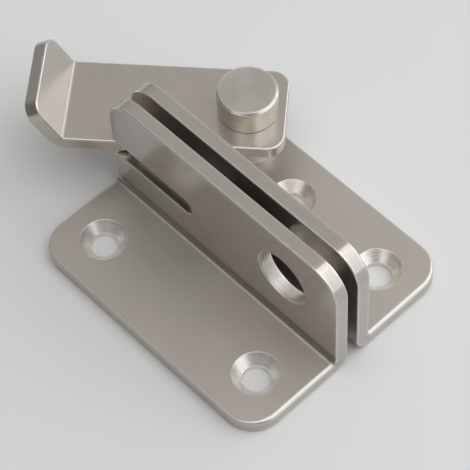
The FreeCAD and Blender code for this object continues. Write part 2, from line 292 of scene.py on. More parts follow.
@dataclass(frozen=True)
class SheetSteel:
    """Satin stainless sheet.

    Its broad sides have a fine grain along the strip under a wide haze. Past the bend the sheet
    is partly polished, and so are its sheared walls. Holes show the drill's rings, edges are
    rubbed pale, and the inside of the bend is darkened with painted shade.
    """

    name: str
    tone: Triple = (0.55, 0.510, 0.470)
    rubbed_tone: Triple = (0.66, 0.632, 0.60)
    cut_tone: Triple = (0.82, 0.79, 0.75)
    roughness: float = 0.36
    anisotropy: float = 0.7
    haze_roughness: float = 0.62
    haze: float = 0.35
    polish_roughness: float = 0.15
    polish: float = 0.55
    wall_polish: float = 0.75
    leaf_start: float = 22.5 * MM
    leaf_fade: float = 3.0 * MM
    grain: Pattern = Pattern((6.0 * MM, 0.11 * MM, MM), 3.0, shade=0.08, roughness=0.06, height=0.5)
    streaks: Pattern = Pattern((22.0 * MM, 0.7 * MM, MM), shade=0.07, roughness=0.04, height=0.5)
    shear: Pattern = Pattern((5.0 * MM, 0.14 * MM, MM), 3.0, shade=0.40, roughness=0.25)
    rings: Pattern = Pattern((25.0 * MM, 0.24 * MM, MM), shade=0.34, roughness=0.2, height=0.8)
    chatter: Pattern = Pattern((1.1 * MM, 2.5 * MM, MM), 1.0, shade=0.2)
    clouds: Pattern = Pattern((11.0 * MM, 11.0 * MM, 11.0 * MM), 3.0, shade=0.10, roughness=0.10)
    mottle: Pattern = Pattern((1.6 * MM, 1.6 * MM, 1.6 * MM), roughness=0.03, height=0.25)
    waves: Pattern = Pattern((4.0 * MM, 9.0 * MM, 6.0 * MM))
    rubbing: Rubbing = Rubbing(edge=1.25, mottle=0.5, start=0.25, full=0.95)
    base_shade: float = 0.985
    # How much the inside of the bend is darkened: painted shade.
    painted_crease_shade: float = 0.4
    turned_gloss: float = 0.08
    rubbed_roughness: float = 0.08
    rubbed_haze: float = 0.5
    streaked_haze: float = 0.06
    clouded_polish: float = 0.6
    clouded_polish_roughness: float = 0.2
    scratch_strength: float = 0.2
    scratch_depth: float = 0.006 * MM
    wave_strength: float = 0.3
    wave_depth: float = 0.04 * MM

    def material(self) -> bpy.types.Material:
        """Build the material from the piece's layouts and marks.

        Returns:
            The material: brushed gloss, haze over it, and polish where the sheet is smoothed.
        """
        made, bench = new_material(self.name)
        sheet, rim = bench.layout("sheet"), bench.layout("rim")
        place = bench.add("ShaderNodeTexCoord", {}, {}, "Object")
        edge, wall, turned, crease = (bench.mark(name) for name in MARKS)
        grain, streaks = (bench.noise(sheet, kind) for kind in (self.grain, self.streaks))
        clouds, mottle = (bench.noise(place, kind) for kind in (self.clouds, self.mottle))
        shear, rings, chatter = (
            bench.noise(rim, kind) for kind in (self.shear, self.rings, self.chatter)
        )

        along = bench.add("ShaderNodeSeparateXYZ", {}, {0: sheet}, 1)
        leaf = along.ramped(self.leaf_start, self.leaf_start + self.leaf_fade)
        broad = (1 - wall) * (1 - turned)
        sheared = wall * (1 - turned)
        rubbed = self.rubbing.share(edge, mottle)

        # Colour multiplier; its last term darkens the inside of the bend, which is painted shade.
        shade = (
            self.base_shade
            + broad * (streaks.swing(self.streaks.shade) + grain.swing(self.grain.shade))
            + clouds.swing(self.clouds.shade)
            + sheared * shear.swing(self.shear.shade)
            + turned * (rings.swing(self.rings.shade) + chatter.swing(self.chatter.shade))
            - crease * self.painted_crease_shade
        )
        worn = bench.mix_colours(rubbed, (*self.tone, 1), (*self.rubbed_tone, 1))
        colour = bench.dim(bench.mix_colours(turned, worn, (*self.cut_tone, 1)), shade)
        roughness = (
            self.roughness
            + broad * (grain.swing(self.grain.roughness) + streaks.swing(self.streaks.roughness))
            + clouds.swing(self.clouds.roughness)
            + mottle.swing(self.mottle.roughness)
            + sheared * shear.swing(self.shear.roughness)
            + turned * (rings.swing(self.rings.roughness) - self.turned_gloss)
            + rubbed * self.rubbed_roughness
        ).clamped()
        scratches = (
            broad * (grain * self.grain.height + streaks * self.streaks.height)
            + sheared * shear
            + turned * (rings * self.rings.height + chatter)
            + mottle * self.mottle.height
        )
        gloss = bench.steel({
            "Base Color": colour,
            "Roughness": roughness,
            "Normal": bench.bump(scratches, self.scratch_strength, self.scratch_depth),
            "Anisotropic": self.anisotropy,
            "Anisotropic Rotation": QUARTER_TURN,
        })
        haze = bench.steel({"Base Color": colour, "Roughness": self.haze_roughness})
        waves = bench.noise(place, self.waves)
        shine = (self.polish_roughness + clouds.swing(self.clouded_polish_roughness)).clamped()
        polish = bench.steel({
            "Base Color": colour,
            "Roughness": shine,
            "Normal": bench.bump(waves, self.wave_strength, self.wave_depth),
        })
        share = (
            self.haze * (1 - rubbed * self.rubbed_haze)
            + broad * streaks.swing(self.streaked_haze)
        ).clamped()
        smoothed = leaf * broad * (self.polish + clouds.swing(self.clouded_polish))
        bright = (smoothed + sheared * self.wall_polish).clamped()
        bench.show(bench.mix_shaders(bright, bench.mix_shaders(share, gloss, haze), polish))
        return made


@dataclass(frozen=True)
class TurnedSteel:
    """Lathe-turned stainless: fine rings and wider bands round the axis, and rubbed edges."""

    name: str
    tone: Triple = (0.62, 0.585, 0.54)
    rubbed_tone: Triple = (0.66, 0.635, 0.60)
    roughness: float = 0.25
    anisotropy: float = 0.5
    rings: Pattern = Pattern((40.0 * MM, 0.10 * MM, MM), shade=0.16, roughness=0.08, height=0.7)
    bands: Pattern = Pattern((60.0 * MM, 0.7 * MM, MM), 1.0, shade=0.12, roughness=0.04, height=0.6)
    clouds: Pattern = Pattern((5.0 * MM, 5.0 * MM, 5.0 * MM), shade=0.10, roughness=0.06)
    mottle: Pattern = Pattern((0.8 * MM, 0.8 * MM, 0.8 * MM), height=0.2)
    rubbing: Rubbing = Rubbing(edge=1.2, mottle=0.4, start=0.3, full=0.95)
    base_shade: float = 0.985
    rubbed_roughness: float = 0.04
    scratch_strength: float = 0.12
    scratch_depth: float = 0.006 * MM

    def material(self) -> bpy.types.Material:
        """Build the material from the piece's turned layout and marks.

        Returns:
            The material.
        """
        made, bench = new_material(self.name)
        rim = bench.layout("rim")
        place = bench.add("ShaderNodeTexCoord", {}, {}, "Object")
        rings, bands = (bench.noise(rim, kind) for kind in (self.rings, self.bands))
        clouds, mottle = (bench.noise(place, kind) for kind in (self.clouds, self.mottle))
        rubbed = self.rubbing.share(bench.mark("edge"), mottle)
        shade = (
            self.base_shade
            + rings.swing(self.rings.shade)
            + bands.swing(self.bands.shade)
            + clouds.swing(self.clouds.shade)
        )
        worn = bench.mix_colours(rubbed, (*self.tone, 1), (*self.rubbed_tone, 1))
        roughness = (
            self.roughness
            + rings.swing(self.rings.roughness)
            + bands.swing(self.bands.roughness)
            + clouds.swing(self.clouds.roughness)
            + rubbed * self.rubbed_roughness
        ).clamped()
        scratches = (
            rings * self.rings.height + bands * self.bands.height + mottle * self.mottle.height
        )
        bench.show(bench.steel({
            "Base Color": bench.dim(worn, shade),
            "Roughness": roughness,
            "Normal": bench.bump(scratches, self.scratch_strength, self.scratch_depth),
            "Anisotropic": self.anisotropy,
            "Anisotropic Rotation": QUARTER_TURN,
        }))
        return made


# Lines with rounded corners


class Facing(Enum):
    """The side of the travel along a line that its normals point to."""

    LEFT = 1.0
    RIGHT = -1.0


@dataclass(frozen=True)
class Line:
    """Points of a flat line, a unit normal at each and the length travelled to each."""

    points: np.ndarray
    normals: np.ndarray
    closed: bool

    @property
    def lengths(self) -> np.ndarray:
        """Add up the steps between the points.

        Returns:
            Length travelled to each point, with the whole length at the end of a closed line.
        """
        points = np.vstack((self.points, self.points[:1])) if self.closed else self.points
        steps = np.linalg.norm(np.diff(points, axis=0), axis=1)
        return np.concatenate(([0.0], np.cumsum(steps)))


def rounded_line(
    corners: np.ndarray,
    radii: np.ndarray,
    closed: bool,
    facing: Facing,
    arc_steps: int,
    leg_steps: int,
    stations: np.ndarray | None = None,
) -> Line:
    """Round the corners of a line of straight legs.

    Each corner becomes an arc whose points lie at centre - side * radius, where side is the left
    normal of a heading that turns evenly from the leg that arrives to the leg that leaves. Each
    leg between two arcs is a straight blend of its ends.

    Args:
        corners: corner points, one row each.
        radii: radius of each corner; an open line's ends have none.
        closed: whether the last corner joins the first.
        facing: the side that the normals point to.
        arc_steps: pieces in each arc.
        leg_steps: pieces in each straight leg.
        stations: second coordinates at which a leg also gets a point.

    Returns:
        The line.
    """
    legs = np.roll(corners, -1, axis=0) - corners
    legs /= np.linalg.norm(legs, axis=1, keepdims=True)
    arrives = np.roll(legs, 1, axis=0)
    if not closed:
        legs[-1] = arrives[-1]
        arrives[0] = legs[0]
    cross = arrives[:, 0] * legs[:, 1] - arrives[:, 1] * legs[:, 0]
    turns = np.arctan2(cross, (arrives * legs).sum(axis=1))
    setback = (radii * np.tan(np.abs(turns) / 2))[:, None]
    entries = corners - arrives * setback
    leaves = corners + legs * setback
    headings = np.arctan2(arrives[:, 1], arrives[:, 0])
    count = len(corners)
    points, normals = [], []
    for index in range(count):
        at_end = not closed and index in (0, count - 1)
        shares = np.zeros(1) if at_end else np.linspace(0.0, 1.0, arc_steps + 1)
        heading = headings[index] + turns[index] * shares
        left = np.column_stack((-np.sin(heading), np.cos(heading)))
        reach = radii[index] * np.sign(turns[index])
        centre = entries[index] + left[0] * reach
        points.append(centre - left * reach)
        normals.append(left * facing.value)
        if not closed and index == count - 1:
            break
        start, end = leaves[index], entries[(index + 1) % count]
        places = np.linspace(0.0, 1.0, leg_steps + 1)[1:-1]
        if stations is not None and abs(end[1] - start[1]) > NO_LENGTH:
            crossed = (stations - start[1]) / (end[1] - start[1])
            crossed = crossed[(crossed > LEG_END) & (crossed < 1 - LEG_END)]
            gaps = np.abs(places[:, None] - crossed[None, :]).min(axis=1, initial=1.0)
            kept = places[gaps > CROWDED / leg_steps]
            places = np.sort(np.concatenate((kept, crossed)))
        points.append(start + (end - start) * places[:, None])
        side = np.array((-legs[index, 1], legs[index, 0])) * facing.value
        normals.append(np.repeat(side[None, :], len(places), axis=0))
    return Line(np.vstack(points), np.vstack(normals), closed)


def circle_line(centre: tuple[float, float], radius: float, steps: int) -> Line:
    """Walk clockwise round a circle with normals towards its centre.

    A point is centre + radius * (cos, sin) of an angle that falls evenly, and its normal is minus
    that direction.

    Args:
        centre: middle of the circle.
        radius: its radius.
        steps: number of points.

    Returns:
        The closed line.
    """
    angles = -FULL_TURN * np.arange(steps) / steps
    outward = np.column_stack((np.cos(angles), np.sin(angles)))
    return Line(np.asarray(centre) + radius * outward, -outward, True)


# Surfaces


def into_scene(name: str, data: bpy.types.ID) -> bpy.types.Object:
    """Make an object and put it into the scene.

    Args:
        name: the object's name.
        data: its mesh, lamp or camera.

    Returns:
        The object.
    """
    made = bpy.data.objects.new(name, data)
    bpy.context.scene.collection.objects.link(made)
    return made


@dataclass
class Skin:
    """One closed surface, gathered as whole arrays and turned into a mesh at the end."""

    places: list[np.ndarray] = field(default_factory=list)
    normals: list[np.ndarray] = field(default_factory=list)
    sheet: list[np.ndarray] = field(default_factory=list)
    marks: list[np.ndarray] = field(default_factory=list)
    triangles: list[np.ndarray] = field(default_factory=list)
    rims: list[np.ndarray] = field(default_factory=list)
    count: int = 0

    def add_points(
        self, places: np.ndarray, normals: np.ndarray, sheet: np.ndarray, marks: np.ndarray
    ) -> np.ndarray:
        """Add points and return their numbers, in the same grid shape.

        Args:
            places: grid of places, three numbers each.
            normals: grid of unit normals.
            sheet: grid of places on the flat sheet, two numbers each.
            marks: grid of the marks named in MARKS, one number each.

        Returns:
            Grid of point numbers.
        """
        shape = places.shape[:-1]
        self.places.append(places.reshape(-1, 3))
        self.normals.append(normals.reshape(-1, 3))
        self.sheet.append(sheet.reshape(-1, 2))
        self.marks.append(marks.reshape(-1, len(MARKS)))
        numbers = self.count + np.arange(int(np.prod(shape))).reshape(shape)
        self.count += numbers.size
        return numbers

    def add_grid(self, numbers: np.ndarray, rim: np.ndarray) -> None:
        """Join a grid of points into triangles; a grid cell is cut along one diagonal.

        Args:
            numbers: point numbers, rows along the profile and columns along the path.
            rim: the same grid's layout, as path length and profile length.
        """
        def cell(grid: np.ndarray) -> np.ndarray:
            """Stack the corners of the two triangles in each cell."""
            a, b, c, d = grid[:-1, :-1], grid[1:, :-1], grid[1:, 1:], grid[:-1, 1:]
            return np.stack((np.stack((a, b, c), 2), np.stack((a, c, d), 2)), 2)

        corners = cell(numbers).reshape(-1, 3)
        layout = cell(rim).reshape(-1, 3, 2)
        first, second, third = corners.T
        whole = (first != second) & (second != third) & (third != first)
        self.triangles.append(corners[whole])
        self.rims.append(layout[whole])

    def add_fill(self, triangles: np.ndarray) -> None:
        """Add triangles between points that are there already."""
        self.triangles.append(triangles)
        self.rims.append(np.zeros((len(triangles), 3, 2)))

    def mesh_object(self, name: str, turn: float, shift: Triple) -> bpy.types.Object:
        """Turn the surface about Z, shift it and make the finished object.

        Args:
            name: the piece's name.
            turn: angle about Z.
            shift: move after the turn.

        Returns:
            The object, at the origin and unturned, with its place in its mesh.
        """
        cosine, sine = math.cos(turn), math.sin(turn)
        matrix = np.array(((cosine, -sine, 0.0), (sine, cosine, 0.0), (0.0, 0.0, 1.0)))
        places = np.vstack(self.places) @ matrix.T + np.asarray(shift)
        normals = np.vstack(self.normals) @ matrix.T
        triangles = np.vstack(self.triangles)
        mesh = bpy.data.meshes.new(name)
        mesh.from_pydata(places, [], triangles)
        for layout, values in (
            ("sheet", np.vstack(self.sheet)[triangles.ravel()]),
            ("rim", np.vstack(self.rims).reshape(-1, 2)),
        ):
            layer = mesh.uv_layers.new(name=layout)
            layer.data.foreach_set("uv", values.astype(np.float32).ravel())
        for column, mark in enumerate(MARKS):
            attribute = mesh.attributes.new(mark, "FLOAT", "POINT")
            values = np.vstack(self.marks)[:, column].astype(np.float32)
            attribute.data.foreach_set("value", values)
        mesh.shade_smooth()
        lengths = np.linalg.norm(normals, axis=1, keepdims=True)
        mesh.normals_split_custom_set_from_vertices((normals / lengths).tolist())
        return into_scene(name, mesh)


def brush(piece: bpy.types.Object, angle: float) -> None:
    """Lay a sheet's brushing along one direction of the plan.

    A shader's own tangent runs round the middle of the mesh's texture space, so a middle that is
    far away to one side gives a tangent that is the same all over the piece.

    Args:
        piece: the sheet.
        angle: direction of the brushing, from +X towards +Y.
    """
    piece.data.use_auto_texspace = False
    piece.data.texspace_size = (1.0, 1.0, 1.0)
    piece.data.texspace_location = (
        -math.sin(angle) * BRUSH_REACH, math.cos(angle) * BRUSH_REACH, 0.0
    )


def rubbed_share(profile: Line, edges: np.ndarray, reach: float) -> np.ndarray:
    """Tell how near each profile point is to a sharp edge that hands and cloths rub.

    The share is exp(-(distance / reach) squared) to the nearest edge.

    Args:
        profile: the profile.
        edges: corner places in the profile's plane.
        reach: distance at which the share has fallen to about a third.

    Returns:
        One share for each profile point.
    """
    gaps = np.linalg.norm(profile.points[:, None, :] - edges[None, :, :], axis=2).min(axis=1)
    return np.exp(-((gaps / reach) ** 2))


# Bent sheets


@dataclass(frozen=True)
class Hole:
    """A round hole in the flat sheet; its head radius, if any, is its countersink's."""

    centre: tuple[float, float]
    radius: float
    head_radius: float = 0.0
    from_below: bool = False
    rim: float = 0.12 * MM
    steps: int = 96


@dataclass(frozen=True)
class Rim:
    """A rim's profile, outward distance and height, and each profile point's marks."""

    line: Line
    marks: np.ndarray


@dataclass
class BentSheet:
    """A sheet with one bend, made as a flat blank whose edge profile is swept round its outline.

    A pair of steps is the pieces in each arc and in each straight leg.
    """

    thickness: float = 3.0 * MM
    inside_radius: float = 1.0 * MM
    bend_angle: float = math.pi / 2
    bend_steps: int = 14
    crease_power: int = 6
    roll: float = 0.24 * MM
    soft_roll: float = 0.9 * MM
    under_roll: float = 0.24 * MM
    apron: float = 0.85 * MM
    skirt: float = 0.6 * MM
    rub_reach: float = 0.15 * MM
    rub_spread: float = 0.9
    hole_rub_reach: float = 0.16 * MM
    hole_rub: float = 0.6
    turned_gain: float = 3.0
    outline_steps: tuple[int, int] = (14, 24)
    rim_steps: tuple[int, int] = (8, 4)
    hole_steps: tuple[int, int] = (5, 6)

    @property
    def half(self) -> float:
        """Half the sheet's thickness."""
        return self.thickness / 2

    @property
    def middle_radius(self) -> float:
        """Bend radius of the sheet's middle layer."""
        return self.inside_radius + self.half

    @property
    def bend_length(self) -> float:
        """Length of the middle layer in the bend."""
        return self.middle_radius * self.bend_angle

    @property
    def setback(self) -> float:
        """Distance from the inside crease to where the bend starts."""
        return self.inside_radius * math.tan(self.bend_angle / 2)

    def first_run(self) -> float:
        """Flat length before the bend."""
        raise NotImplementedError

    def blank(self) -> tuple[np.ndarray, np.ndarray]:
        """Corners and corner radii of the flat blank, anticlockwise."""
        raise NotImplementedError

    def holes(self) -> tuple[Hole, ...]:
        """Round holes of the flat blank."""
        raise NotImplementedError

    def stations(self) -> np.ndarray:
        """Places along the blank where the bend has a line of points."""
        return self.first_run() + np.linspace(0.0, self.bend_length, self.bend_steps + 1)

    def folded(self, flat: np.ndarray, tilt: np.ndarray) -> tuple[np.ndarray, np.ndarray]:
        """Bend flat places and their normals.

        Up to the bend a place stays. In the bend it lies on a circle round the bend's centre,
        with radius middle radius - height and an angle that grows evenly along the sheet. After
        it, the place goes on straight along the turned direction.

        Args:
            flat: places as across, along and height above the middle layer.
            tilt: unit normals in the same directions.

        Returns:
            Folded places and normals, with the sheet's underside at height 0.
        """
        across, along, height = flat[..., 0], flat[..., 1], flat[..., 2]
        start = self.first_run()
        angle = np.clip((along - start) / self.middle_radius, 0.0, self.bend_angle)
        before = np.minimum(along - start, 0.0)
        after = np.maximum(along - start - self.bend_length, 0.0)
        radius = self.middle_radius - height
        cosine, sine = np.cos(angle), np.sin(angle)
        reach = start + before + radius * sine + after * cosine
        rise = self.half + self.middle_radius - radius * cosine + after * sine
        places = np.stack((across, reach, rise), axis=-1)
        normals = np.stack(
            (
                tilt[..., 0],
                tilt[..., 1] * cosine - tilt[..., 2] * sine,
                tilt[..., 1] * sine + tilt[..., 2] * cosine,
            ),
            axis=-1,
        )
        return places, normals

    def sweep(
        self, skin: Skin, path: Line, crisp: Rim, soft: Rim, share: np.ndarray
    ) -> tuple[np.ndarray, np.ndarray]:
        """Carry a rim profile along a closed path of the blank and fold the surface.

        A point is path point + path normal * rim's outward part, at the rim's height, where the
        rim is (1 - share) * crisp + share * soft.

        Args:
            skin: the surface to add to.
            path: outline with normals out of the metal.
            crisp: the rim where the share is 0.
            soft: the rim where the share is 1, with as many points.
            share: share of the soft rim at each path point.

        Returns:
            Places on the flat sheet and point numbers, rows along the rim.
        """
        part = share[None, :, None]
        rim = crisp.line.points[:, None, :] * (1 - part) + soft.line.points[:, None, :] * part
        lean = crisp.line.normals[:, None, :] * (1 - part) + soft.line.normals[:, None, :] * part
        marks = crisp.marks[:, None, :] * (1 - part) + soft.marks[:, None, :] * part
        flat = np.empty((*rim.shape[:2], 3))
        flat[..., :2] = path.points[None] + path.normals[None] * rim[..., :1]
        flat[..., 2] = rim[..., 1]
        tilt = np.empty_like(flat)
        tilt[..., :2] = path.normals[None] * lean[..., :1]
        tilt[..., 2] = lean[..., 1]
        places, normals = self.folded(flat, tilt)
        marks = np.dstack((marks, self.crease(flat)))
        numbers = skin.add_points(places, normals, flat[..., :2], marks)
        wrapped = np.hstack((numbers, numbers[:, :1]))
        layout = np.stack(np.meshgrid(path.lengths, crisp.line.lengths), axis=-1)
        skin.add_grid(wrapped, layout)
        return flat[..., :2], numbers

    def crease(self, flat: np.ndarray) -> np.ndarray:
        """Share of the bend's inside, for painted shade: a narrow hump across the bend, upper side
        only.
        """
        past = np.clip((flat[..., 1] - self.first_run()) / self.bend_length, 0.0, 1.0)
        above = np.clip(flat[..., 2] / self.half, 0.0, 1.0)
        return np.sin(math.pi * past) ** self.crease_power * above

    def cut_rim(self, top_roll: float, under_roll: float, apron: float) -> Rim:
        """Profile of a cut edge: flat apron, rolled edge, wall, rolled edge, flat apron.

        Args:
            top_roll: radius of the upper edge.
            under_roll: radius of the lower edge.
            apron: width of the flat part on each broad side.

        Returns:
            The rim.
        """
        top, under = self.half, -self.half
        corners = np.array(((-apron, top), (0.0, top), (0.0, under), (-apron, under)))
        radii = np.array((0.0, top_roll, under_roll, 0.0))
        line = rounded_line(corners, radii, False, Facing.LEFT, *self.rim_steps)
        edge = rubbed_share(line, corners[1:3], self.rub_reach + self.rub_spread * top_roll)
        wall = line.normals[:, 0] ** 2
        return Rim(line, np.column_stack((edge, wall, np.zeros_like(wall))))

    def hole_rim(self, hole: Hole) -> Rim:
        """Profile of a drilled hole, with its countersink if it has one.

        Args:
            hole: the hole.

        Returns:
            The rim, with the flat skirt on each broad side.
        """
        top, under, skirt = self.half, -self.half, self.skirt
        flare = max(0.0, hole.head_radius - hole.radius)
        if flare == 0.0:
            inner = ((0.0, top), (0.0, under))
            reaches = (skirt, skirt)
        elif hole.from_below:
            inner = ((0.0, top), (0.0, under + flare), (-flare, under))
            reaches = (skirt, flare + skirt)
        else:
            inner = ((-flare, top), (0.0, top - flare), (0.0, under))
            reaches = (flare + skirt, skirt)
        corners = np.array(((-reaches[0], top), *inner, (-reaches[1], under)))
        radii = np.array((0.0, *(hole.rim,) * len(inner), 0.0))
        line = rounded_line(corners, radii, False, Facing.LEFT, *self.hole_steps)
        edge = rubbed_share(line, corners[1:-1], self.hole_rub_reach)
        wall = line.normals[:, 0] ** 2
        turned = np.clip(np.abs(line.normals[:, 0]) * self.turned_gain, 0.0, 1.0)
        return Rim(line, np.column_stack((edge * self.hole_rub, wall, turned)))

    def softness(self, path: Line) -> np.ndarray:
        """Share of the softer rim at each point of the outline."""
        return np.zeros(len(path.points))

    def fill(self, skin: Skin, loops: list[tuple[np.ndarray, np.ndarray]], upper: bool) -> None:
        """Fill a broad side between the outline's ring and the holes' rings.

        The triangles are a constrained Delaunay mesh of the flat blank; its lines across the
        bend keep the bend round.

        Args:
            skin: the surface to add to.
            loops: flat points and point numbers of each ring, the outline's first.
            upper: whether this is the side inside the bend.
        """
        flat = np.vstack([points for points, _ in loops])
        numbers = np.concatenate([ring for _, ring in loops])
        starts = np.cumsum([0] + [len(ring) for _, ring in loops])
        borders = [
            np.column_stack((np.arange(a, b), np.roll(np.arange(a, b), -1)))
            for a, b in zip(starts[:-1], starts[1:])
        ]
        outline = flat[: starts[1]]
        for station in self.stations():
            on_line = np.flatnonzero(np.abs(outline[:, 1] - station) < SAME_PLACE)
            borders.append(on_line[np.argsort(outline[on_line, 0])][None, [0, -1]])
        edges = np.vstack(borders)
        found = delaunay_2d_cdt((flat / MM).tolist(), edges.tolist(), [], 0, JOINED)
        origin = np.array([sources[0] for sources in found[3]])
        triangles = origin[np.array(found[2])]
        middles = flat[triangles].mean(axis=1)
        inside = self.within(outline, middles)
        for a, b in zip(starts[1:-1], starts[2:]):
            inside &= ~self.within(flat[a:b], middles)
        triangles = triangles[inside]
        sides = flat[triangles]
        spans = (sides[:, 1] - sides[:, 0], sides[:, 2] - sides[:, 0])
        upward = spans[0][:, 0] * spans[1][:, 1] - spans[0][:, 1] * spans[1][:, 0] > 0
        swap = upward != upper
        triangles[swap] = triangles[swap][:, ::-1]
        skin.add_fill(numbers[triangles])

    @staticmethod
    def within(loop: np.ndarray, points: np.ndarray) -> np.ndarray:
        """Tell which points lie inside a closed loop, by counting the edges to their right.

        Args:
            loop: the loop's corners.
            points: places to test.

        Returns:
            True where an odd number of edges is crossed.
        """
        start, end = loop[None], np.roll(loop, -1, axis=0)[None]
        across, along = points[:, None, 0], points[:, None, 1]
        spans = (start[..., 1] > along) != (end[..., 1] > along)
        slope = (along - start[..., 1]) / np.where(spans, end[..., 1] - start[..., 1], 1.0)
        crossing = start[..., 0] + slope * (end[..., 0] - start[..., 0])
        return ((spans & (across < crossing)).sum(axis=1) % 2).astype(bool)

    def build(self, name: str, turn: float, shift: Triple) -> bpy.types.Object:
        """Make the whole sheet.

        Args:
            name: the piece's name.
            turn: angle about Z.
            shift: place of the sheet's own origin.

        Returns:
            The finished object.
        """
        skin = Skin()
        corners, radii = self.blank()
        outline = rounded_line(
            corners, radii, True, Facing.RIGHT, *self.outline_steps, self.stations()
        )
        crisp = self.cut_rim(self.roll, self.under_roll, self.apron)
        soft = self.cut_rim(self.soft_roll, self.under_roll, self.soft_roll + self.apron / 2)
        sweeps = [(outline, crisp, soft, self.softness(outline))]
        for hole in self.holes():
            ring = circle_line(hole.centre, hole.radius, hole.steps)
            rim = self.hole_rim(hole)
            sweeps.append((ring, rim, rim, np.zeros(hole.steps)))
        upper, lower = [], []
        for path, first, second, share in sweeps:
            flat, numbers = self.sweep(skin, path, first, second, share)
            upper.append((flat[0], numbers[0]))
            lower.append((flat[-1], numbers[-1]))
        self.fill(skin, upper, True)
        self.fill(skin, lower, False)
        return skin.mesh_object(name, turn, shift)


class SlotSide(Enum):
    """The end of a bracket's blank at which its slot opens, as the sign of its place."""

    LEFT = -1.0
    RIGHT = 1.0


@dataclass
class Bracket(BentSheet):
    """One of the two brackets: a base with screw holes and a leaf with the padlock hole."""

    length: float = 60.0 * MM
    base_depth: float = 24.5 * MM
    leaf_height: float = 29.0 * MM
    base_corner: float = 6.5 * MM
    leaf_corner: float = 6.5 * MM
    slot_low: float = 11.6 * MM
    slot_high: float = 15.5 * MM
    slot_depth: float = 21.790 * MM
    slot_lip: float = 1.0 * MM
    slot_end: float = 1.6 * MM
    slot_side: SlotSide = SlotSide.LEFT
    screw_row: float = 14.8 * MM
    screw_radius: float = 2.75 * MM
    screw_head_radius: float = 4.65 * MM
    screw_places: tuple[float, ...] = ()
    padlock_place: float = 16.0 * MM
    padlock_height: float = 17.0 * MM
    padlock_radius: float = 6.0 * MM
    rivet: Hole | None = None

    def first_run(self) -> float:
        """Flat length of the base."""
        return self.base_depth - self.thickness - self.setback

    def along_leaf(self, height: float) -> float:
        """Place along the blank of a height on the leaf."""
        leaf_start = self.thickness + self.setback
        return self.first_run() + self.bend_length + height - leaf_start

    def blank(self) -> tuple[np.ndarray, np.ndarray]:
        """Draw the flat blank, anticlockwise, with the slot's notch.

        Returns:
            Its corners and their radii.
        """
        end, top = self.length / 2, self.along_leaf(self.leaf_height)
        low, high = self.along_leaf(self.slot_low), self.along_leaf(self.slot_high)
        inner = end - self.slot_depth
        corners = np.array(
            ((end, 0.0), (end, top), (-end, top), (-end, high), (-inner, high), (-inner, low),
             (-end, low), (-end, 0.0))
        )
        radii = np.array(
            (self.base_corner, self.leaf_corner, self.leaf_corner, self.slot_lip, self.slot_end,
             self.slot_end, self.slot_lip, self.base_corner)
        )
        if self.slot_side is SlotSide.RIGHT:
            corners, radii = corners[::-1] * (-1.0, 1.0), radii[::-1]
        return corners, radii

    def softness(self, path: Line) -> np.ndarray:
        """Grind the base's two ends rounder than its long edge and the leaf's edges.

        The share is the square of the normal's part along the bracket, faded out smoothly from
        the base's end of the bend to the leaf.

        Args:
            path: the blank's outline.

        Returns:
            Share of the softer rim at each point of it.
        """
        past = (path.points[:, 1] - self.first_run()) / self.bend_length
        fade = np.clip(1.0 - past, 0.0, 1.0)
        return path.normals[:, 0] ** 2 * fade * fade * (3 - 2 * fade)

    def holes(self) -> tuple[Hole, ...]:
        """List the holes.

        Returns:
            The countersunk screw holes, the padlock hole and the pivot's rivet hole.
        """
        row = self.base_depth - self.screw_row
        screws = [
            Hole((place, row), self.screw_radius, self.screw_head_radius)
            for place in self.screw_places
        ]
        middle = (self.padlock_place, self.along_leaf(self.padlock_height))
        rivets = [self.rivet] if self.rivet else []
        return (*screws, Hole(middle, self.padlock_radius), *rivets)


@dataclass
class LatchArm(BentSheet):
    """The swinging arm: a flat strip with a pivot hole and an upturned thumb tab."""

    bend_angle: float = math.radians(63.0)
    roll: float = 0.3 * MM
    under_roll: float = 0.5 * MM
    width: float = 19.0 * MM
    heel: float = 7.5 * MM
    reach: float = 35.0 * MM
    tab: float = 9.5 * MM
    heel_corner: float = 3.5 * MM
    tab_corner: float = 3.2 * MM
    pivot_radius: float = 3.05 * MM

    def first_run(self) -> float:
        """Flat length from the heel to the bend."""
        return self.heel + self.reach - self.setback

    def blank(self) -> tuple[np.ndarray, np.ndarray]:
        """Draw the flat blank, anticlockwise.

        Returns:
            Its corners and their radii.
        """
        side = self.width / 2
        top = self.first_run() + self.bend_length + self.tab - self.setback
        corners = np.array(((-side, 0.0), (side, 0.0), (side, top), (-side, top)))
        radii = np.array((self.heel_corner, self.heel_corner, self.tab_corner, self.tab_corner))
        return corners, radii

    def holes(self) -> tuple[Hole, ...]:
        """The pivot hole, mostly under the knob."""
        return (Hole((0.0, self.heel), self.pivot_radius, steps=64),)


# Turned pieces


